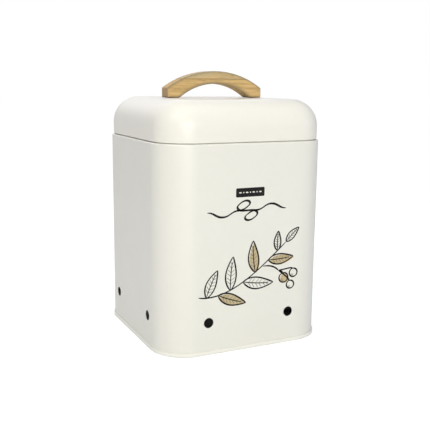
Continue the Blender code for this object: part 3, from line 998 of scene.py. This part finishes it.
printed = {
    "barCentre": (-0.0011, 0.1180),
    "barSize": (0.0232, 0.0066),
    "barCorner": 0.0010,
    "dotPlaces": (-3, -2, -1, 0, 1, 2, 3),
    "dotStep": 0.0027,
    "dotRadius": 0.0005,
    "dashShare": 2.1,           # every second dot is a dash, this many times as long
    "flourishCentre": (-0.0031, 0.1049),
    "flourishSpan": 0.0640,
    "flourishStops": (0.05, 0.58),
    "flourishSway": 0.75,
    "flourishLean": 62,
    "flourishPinch": 0.35,
    "flourishSquash": 0.62,
    "flourishNib": (0.00085, 0.00180),
    "lineNib": (0.00086, 0.00124),
    "veinNib": (0.00034, 0.00048),
    "nibDegrees": 38,
    "inkFoot": 0.000004,        # back of the ink, clear of the coat
    "washHeight": 0.00002,      # tan ink over the coat
    "lineHeight": 0.000045,
    "taper": 0.12,              # share of a line over which the nib eases in and out
    "flourishTaper": 0.10,
    "stemTaper": 0.08,
    "ribTaper": 0.3,
    "veinTaper": 0.4,
    "ribNib": 0.7,              # of the line's nib
    "ribPoints": 41,            # of the leaf's 48, so that the rib stops short of the tip
    "stem": ((-0.0415, 0.0440), (-0.0180, 0.0390), (0.0060, 0.0580), (0.0300, 0.0790)),
    "leaves": (
        # place along the stem, turn in degrees, length, half width, bow, washed with tan
        (0.09, 68, 0.0215, 0.0042, 0.10, False),
        (0.22, -30, 0.0240, 0.0045, -0.10, True),
        (0.36, 64, 0.0250, 0.0047, 0.10, False),
        (0.50, -36, 0.0255, 0.0048, -0.12, False),
        (0.64, 60, 0.0240, 0.0046, 0.12, True),
        (0.79, -36, 0.0215, 0.0042, -0.10, True),
        (0.90, 48, 0.0150, 0.0031, 0.10, False),
        (1.00, 2, 0.0150, 0.0030, 0.06, False),
    ),
    "veinShares": (0.16, 0.28, 0.40, 0.52, 0.64, 0.75),
    "veinLift": 6,              # points on along the leaf's side
    "veinReach": 0.8,           # of the way out to it
    "veinBow": 0.08,
    "washSize": 0.97,
    "washShift": (0.0009, -0.0007),
    "berryStalk": ((0.0105, 0.0620), (0.0180, 0.0625), (0.0215, 0.0600), (0.0240, 0.0575)),
    "berries": (
        # centre, radius, washed with tan
        (0.0285, 0.0515, 0.0038, True),
        (0.0370, 0.0545, 0.0034, False),
        (0.0345, 0.0455, 0.0032, False),
    ),
    "berryStart": 100,          # degrees round the berry, and how far the line goes round
    "berryTurn": 372,
    "berrySquash": 0.96,
    "berryGleams": (0.42, 0.66),
    "gleamStart": 205,
    "gleamTurn": 70,
    "patchScale": 160.0,
    "patchRange": (0.35, 0.75),
    "patchRough": (-0.04, 0.06),
    "grainScale": 1400.0,
    "grainDepth": 0.00003,
    "black": ((0.010, 0.009, 0.008, 1), (0.024, 0.021, 0.019, 1), 0.50),    # full, starved, roughness
    "soft": ((0.160, 0.145, 0.125, 1), (0.300, 0.280, 0.240, 1), 0.45),
    "tan": ((0.500, 0.400, 0.225, 1), (0.560, 0.460, 0.275, 1), 0.45),
    "pale": ((0.790, 0.770, 0.700, 1), (0.700, 0.680, 0.610, 1), 0.42),
}
inkFront = wallLow.y


def nibWidth(path, nib, taper):
    # A broad pen held at an angle: thin + (thick - thin) * |sin(heading - nib angle)|, easing to fine ends
    step = np.gradient(path, axis=0)
    turn = np.arctan2(step[:, 1], step[:, 0]) - math.radians(printed["nibDegrees"])
    t = np.linspace(0, 1, len(path))
    ease = np.clip(np.minimum(t, 1 - t) / taper, 0, 1)
    return (nib[0] + (nib[1] - nib[0]) * np.abs(np.sin(turn))) * (0.2 + 0.8 * np.sqrt(ease * (2 - ease)))


def raised(flat, height):
    # Points (x, z) of the print, at a height off the wall
    return np.stack((flat[:, 0], np.full(len(flat), inkFront - height), flat[:, 1]), -1)


def strokeMesh(path, width):
    # Left and right edges are path +- width / 2 * normal, the section is a low trapezium, and both ends close
    ahead = np.gradient(path, axis=0)
    ahead /= np.linalg.norm(ahead, axis=1)[:, None]
    normal = np.stack((-ahead[:, 1], ahead[:, 0]), -1)
    foot = (width / 2)[:, None]
    crown = np.maximum(foot - printed["washHeight"], foot * 0.4)
    low, high = printed["inkFoot"], printed["lineHeight"]
    edges = ((foot, low), (crown, high), (-crown, high), (-foot, low))
    rings = [raised(path + normal * offset, height) for offset, height in edges]
    faces = quadGrid(len(path), 4, closeColumns=True).tolist()
    last = 4 * (len(path) - 1)
    faces += [[3, 2, 1, 0], [last, last + 1, last + 2, last + 3]]
    return np.stack(rings, axis=1).reshape(-1, 3), faces


def patchMesh(outline, height):
    # A closed outline at the wall and at the ink's height, with a face across each and walls between
    count = len(outline)
    rings = [raised(outline, printed["inkFoot"]), raised(outline, height)]
    faces = quadGrid(2, count, closeColumns=True).tolist()
    faces += [list(range(count))[::-1], list(range(count, 2 * count))]
    return np.concatenate(rings), faces


def printInk(name, colour, thin, roughness):
    # Screen-printed ink: the same colour with slightly starved patches
    material, tree, shader = newMaterial(name, Specular_IOR_Level=0.15)
    place = objectPlace(tree)
    patch = noise(tree, place, printed["patchScale"], 5.0, 0.65)
    mixed = blendOf(tree, ranged(tree, patch, *printed["patchRange"]), colour, thin)
    smoother, rougher = printed["patchRough"]
    rough = ranged(tree, patch, 0.3, 0.7, roughness + smoother, roughness + rougher)
    grain = noise(tree, place, printed["grainScale"], 1.0)
    surface(tree, shader, mixed, rough, grain, 0.2, printed["grainDepth"])
    return material


def inkPiece(name, parts, ink):
    # All strokes and patches of one ink as one piece, which rides on the body
    return pieceOf(name, *joined(parts), "body", [], None, printInk(ink + "Ink", *printed[ink]))


def bezier(points, t):
    # (1-t)^3 a + 3 (1-t)^2 t b + 3 (1-t) t^2 c + t^3 d
    a, b, c, d = (np.array(point) for point in points)
    t = t[:, None]
    return (1 - t) ** 3 * a + 3 * (1 - t) ** 2 * t * b + 3 * (1 - t) * t ** 2 * c + t ** 3 * d


def ellipse(centre, wide, tall, startDegrees=0, turnDegrees=360, steps=40):
    # centre + (wide cos a, tall sin a), with the angle a from its start through its turn
    angle = np.radians(startDegrees + np.linspace(0, turnDegrees, steps, endpoint=turnDegrees != 360))
    return np.array(centre) + (wide, tall) * unitCircle(angle)


def barOutline():
    # A quarter circle round each corner of the bar, joined by its sides
    (cx, cz), (w, h), r = printed["barCentre"], printed["barSize"], printed["barCorner"]
    runs = []
    for k, (sx, sz) in enumerate(((1, 1), (-1, 1), (-1, -1), (1, -1))):
        runs.append(arcOf((cx + sx * (w / 2 - r), cz + sz * (h / 2 - r)), r, 90 * k, 90 * k + 90, 8))
    return np.concatenate(runs)


def leafSides(root, heading, length, halfWidth, bow):
    # With u from 0 to 1 the rib is root + length * (u along + bow u (1 - u) across),
    # and the sides stand off it by halfWidth * sin(pi u^0.85)^0.9 * (1 - 0.2 u)
    u = np.linspace(0, 1, 48)
    along = np.array((math.cos(heading), math.sin(heading)))
    across = np.array((-along[1], along[0]))
    rib = root + length * (u[:, None] * along + (bow * u * (1 - u))[:, None] * across)
    off = halfWidth * np.sin(math.pi * u ** 0.85) ** 0.9 * (1 - 0.2 * u)
    return rib, rib + off[:, None] * across, rib - off[:, None] * across


def flourishPath():
    # With s from -1 to 1 the heading climbs a full turn between -outer and -inner, slower on a loop's long
    # sides, comes back between inner and outer, and sways as a sine in the tails. The line sums (cos, sin)
    # of the heading.
    inner, outer = printed["flourishStops"]
    s = np.abs(np.linspace(-1, 1, 700))
    turned = np.clip((outer - s) / (outer - inner), 0, 1)
    turned = 0.6 * turned + 0.4 * turned ** 2 * (3 - 2 * turned)
    lean = 2 * math.radians(printed["flourishLean"])
    pinch = printed["flourishPinch"] * (np.sin(2 * math.tau * turned - lean) + math.sin(lean))
    climb = math.tau * turned - pinch
    sway = np.where(s > outer, np.sin(math.tau * (s - outer) / (1 - outer)), 0) * printed["flourishSway"]
    path = np.cumsum(unitCircle(climb + sway), axis=0)
    path -= (path[0] + path[-1]) / 2
    path *= printed["flourishSpan"] / np.ptp(path[:, 0])
    return path * (1, printed["flourishSquash"]) + np.array(printed["flourishCentre"])


def makePrint():
    # The bar with its dots and dashes, the flourish, then the sprig: stem, leaves with their veins, berries
    lines, veins, washes, dots = [], [], [], []
    lineNib, shift = printed["lineNib"], np.array(printed["washShift"])
    ribNib = [width * printed["ribNib"] for width in lineNib]

    def stroke(path, nib=lineNib, taper=printed["taper"], into=lines):
        into.append(strokeMesh(path, nibWidth(path, nib, taper)))

    def vein(path):
        stroke(path, printed["veinNib"], printed["veinTaper"], veins)

    def wash(outline):
        middle = outline.mean(axis=0)
        outline = middle + (outline - middle) * printed["washSize"] + shift
        washes.append(patchMesh(outline, printed["washHeight"]))

    lines.append(patchMesh(barOutline(), printed["washHeight"]))
    for k in printed["dotPlaces"]:
        centre = (printed["barCentre"][0] + k * printed["dotStep"], printed["barCentre"][1])
        wide = printed["dotRadius"] * (printed["dashShare"] if k % 2 else 1)
        dots.append(patchMesh(ellipse(centre, wide, printed["dotRadius"]), printed["lineHeight"]))
    stroke(flourishPath(), printed["flourishNib"], printed["flourishTaper"])

    stem = bezier(printed["stem"], np.linspace(0, 1, 160))
    stroke(stem, taper=printed["stemTaper"])
    ahead = np.gradient(stem, axis=0)
    for stop, turn, length, halfWidth, bow, washed in printed["leaves"]:
        at = round(stop * (len(stem) - 1))
        heading = math.atan2(ahead[at, 1], ahead[at, 0]) + math.radians(turn)
        rib, left, right = leafSides(stem[at], heading, length, halfWidth, bow)
        if washed:
            wash(np.concatenate((left, right[-2:0:-1])))
        stroke(left)
        stroke(right)
        stroke(rib[:printed["ribPoints"]], ribNib, printed["ribTaper"])
        for share in printed["veinShares"]:
            for side in (left, right):
                low = round(share * (len(rib) - 1))
                tip = side[min(low + printed["veinLift"], len(rib) - 1)]
                tip = rib[low] * (1 - printed["veinReach"]) + tip * printed["veinReach"]
                bow = printed["veinBow"] * (1 if side is left else -1)
                bend = (rib[low] - tip) @ np.array(((0, 1), (-1, 0))) * bow
                t = np.linspace(0, 1, 12)[:, None]
                vein(rib[low] * (1 - t) + tip * t + bend * t * (1 - t))

    stroke(bezier(printed["berryStalk"], np.linspace(0, 1, 40)), taper=printed["ribTaper"])
    for x, z, radius, washed in printed["berries"]:
        root = np.array(printed["berryStalk"][-1])
        if washed:
            wash(ellipse((x, z), radius, radius))
        around = (printed["berryStart"], printed["berryTurn"], 70)
        stroke(ellipse((x, z), radius, radius * printed["berrySquash"], *around))
        top = np.array((x - radius * 0.3, z + radius * 0.93))
        stops = (root, root * 0.6 + top * 0.4 + (0.0010, 0), top + (0, 0.0016), top)
        stroke(bezier(stops, np.linspace(0, 1, 30)))
        for inner in printed["berryGleams"]:
            gleam = radius * inner
            vein(ellipse((x, z), gleam, gleam, printed["gleamStart"], printed["gleamTurn"], 16))
    inkPiece("printLines", lines, "black")
    inkPiece("printVeins", veins, "soft")
    inkPiece("printWash", washes, "tan")
    inkPiece("printDots", dots, "pale")


makePrint()
print("print done")


# Studio: a pale floor that glows white far off, a surround and soft boxes

studio = {
    "cameraPlace": (-0.2405, -0.5048, 0.1956),
    "yaw": 25.8,
    "pitch": 10.75,
    "roll": 0.61,
    "lens": 58.89,
    "floorHalf": 6.0,
    "floorOpening": 0.00015,    # out from the wall's outer face, just clear of the seam's flat foot
    "floorColour": (0.80, 0.80, 0.80, 1),
    "floorCloud": (0.77, 0.77, 0.77, 1),
    "floorScale": 3.0,
    "floorLit": 0.35,           # lit like any surface this near, and white of itself past floorWhite
    "floorWhite": 1.10,
    "floorGlow": 0.55,          # how far the white part lights the object, where 1 is as white as it looks
    "nearLift": 0.46,           # brightness that the camera alone sees added to the near floor
    "surround": (0.345, 0.362, 0.440, 1),
    "boxes": [
        # place, aim, width, height, watts, colour
        ((-0.326, -1.218, 0.415), (0, 0, 0.10), 0.68, 0.60, 7.5, (1.00, 1.00, 0.90)),
        ((-0.753, -0.435, 1.180), (0, 0, 0.10), 0.90, 0.70, 4.7, (1.00, 0.98, 0.84)),
        ((0.000, 0.000, 1.300), (0, 0, 0.00), 1.20, 1.20, 4.6, (1.00, 1.00, 0.86)),
        ((0.000, 1.065, 0.846), (0, 0, 0.10), 1.60, 0.70, 3.8, (1.00, 0.97, 1.00)),
        ((1.050, -0.680, 0.260), (0, 0, 0.09), 0.24, 0.60, 0.9, (0.65, 0.75, 1.00)),
        ((0.700, 1.440, 0.400), (0, 0, 0.18), 0.86, 0.10, 0.36, (1.00, 1.00, 1.00)),     # lid's flat top
        ((0.150, -0.250, -0.700), (0, 0, 0.00), 0.60, 0.60, 2.8, (1.00, 0.97, 0.84)),    # underside alone
    ],
}


def makeCamera():
    # Columns of the camera's turn are right, up and back, from yaw, pitch and roll about them
    yaw, pitch, roll = (math.radians(studio[key]) for key in ("yaw", "pitch", "roll"))
    ahead = Vector((math.sin(yaw) * math.cos(pitch), math.cos(yaw) * math.cos(pitch), -math.sin(pitch)))
    level = Vector((math.cos(yaw), -math.sin(yaw), 0))
    upright = level.cross(ahead)
    right = level * math.cos(roll) + upright * math.sin(roll)
    up = upright * math.cos(roll) - level * math.sin(roll)
    turn = Matrix((right, up, -ahead)).transposed().to_4x4()
    data = bpy.data.cameras.new("camera")
    data.lens, data.sensor_width = studio["lens"], 36.0
    camera = bpy.data.objects.new("camera", data)
    camera.matrix_world = Matrix.Translation(studio["cameraPlace"]) @ turn
    bpy.context.scene.collection.objects.link(camera)
    bpy.context.scene.camera = camera


def makeFloor():
    # A wide square with an opening under the canister. It is clear from below, so that the underside shows.
    half = studio["floorHalf"]
    outline = plainOutline(2)
    opening = outline["points"] + outline["normals"] * studio["floorOpening"]
    edge = np.array(((-half, -half), (half, -half), (half, half), (-half, half)))
    bm = bmesh.new()
    for ring in (edge, opening):
        corners = [bm.verts.new((x, y, 0)) for x, y in ring]
        for k, corner in enumerate(corners):
            bm.edges.new((corners[k - 1], corner))
    bmesh.ops.triangle_fill(bm, edges=bm.edges[:], use_beauty=True, normal=(0, 0, 1))
    mesh = bpy.data.meshes.new("floor")
    bm.to_mesh(mesh)
    bm.free()
    floor = bpy.data.objects.new("floor", mesh)
    bpy.context.scene.collection.objects.link(floor)
    material, tree, shader = newMaterial("paleFloor", Specular_IOR_Level=0.1, Emission_Color=(1, 1, 1, 1))
    place = objectPlace(tree)
    far = ranged(tree, lengthOf(tree, place), studio["floorLit"], studio["floorWhite"])
    cloud = noise(tree, place, studio["floorScale"])
    colour = blendOf(tree, cloud, studio["floorColour"], studio["floorCloud"])
    colour = blendOf(tree, far, colour, (0, 0, 0, 1))
    tree.links.new(colour, shader.inputs["Base Color"])
    tree.links.new(ranged(tree, cloud, 0.0, 1.0, 0.7, 0.8), shader.inputs["Roughness"])
    seen = tree.nodes.new("ShaderNodeLightPath").outputs["Is Camera Ray"]
    glow = maths(tree, "MULTIPLY_ADD", seen, 1.0 - studio["floorGlow"], studio["floorGlow"])
    lift = maths(tree, "MULTIPLY", seen, studio["nearLift"])
    strength = maths(tree, "MULTIPLY_ADD", far, maths(tree, "SUBTRACT", glow, lift), lift)
    tree.links.new(strength, shader.inputs["Emission Strength"])
    below = tree.nodes.new("ShaderNodeNewGeometry").outputs["Backfacing"]
    tree.links.new(maths(tree, "SUBTRACT", 1.0, below), shader.inputs["Alpha"])
    mesh.materials.append(material)


def makeLights():
    # The camera sees plain white past the floor, and the object is lit by the dimmer surround
    world = bpy.data.worlds.new("surround")
    bpy.context.scene.world = world
    world.use_nodes = True
    tree = world.node_tree
    seen = tree.nodes.new("ShaderNodeLightPath").outputs["Is Camera Ray"]
    colour = blendOf(tree, seen, studio["surround"], (1, 1, 1, 1))
    tree.links.new(colour, tree.nodes["Background"].inputs["Color"])
    for number, (place, aim, wide, tall, watts, colour) in enumerate(studio["boxes"]):
        data = bpy.data.lights.new("softBox%d" % number, "AREA")
        data.shape, data.size, data.size_y = "RECTANGLE", wide, tall
        data.energy, data.color = watts, colour
        box = bpy.data.objects.new("softBox%d" % number, data)
        box.location = place
        box.rotation_euler = (Vector(aim) - Vector(place)).to_track_quat("-Z", "Y").to_euler()
        bpy.context.scene.collection.objects.link(box)


makeCamera()
makeFloor()
makeLights()
bpy.context.scene.view_settings.view_transform = "Standard"
print("studio done")
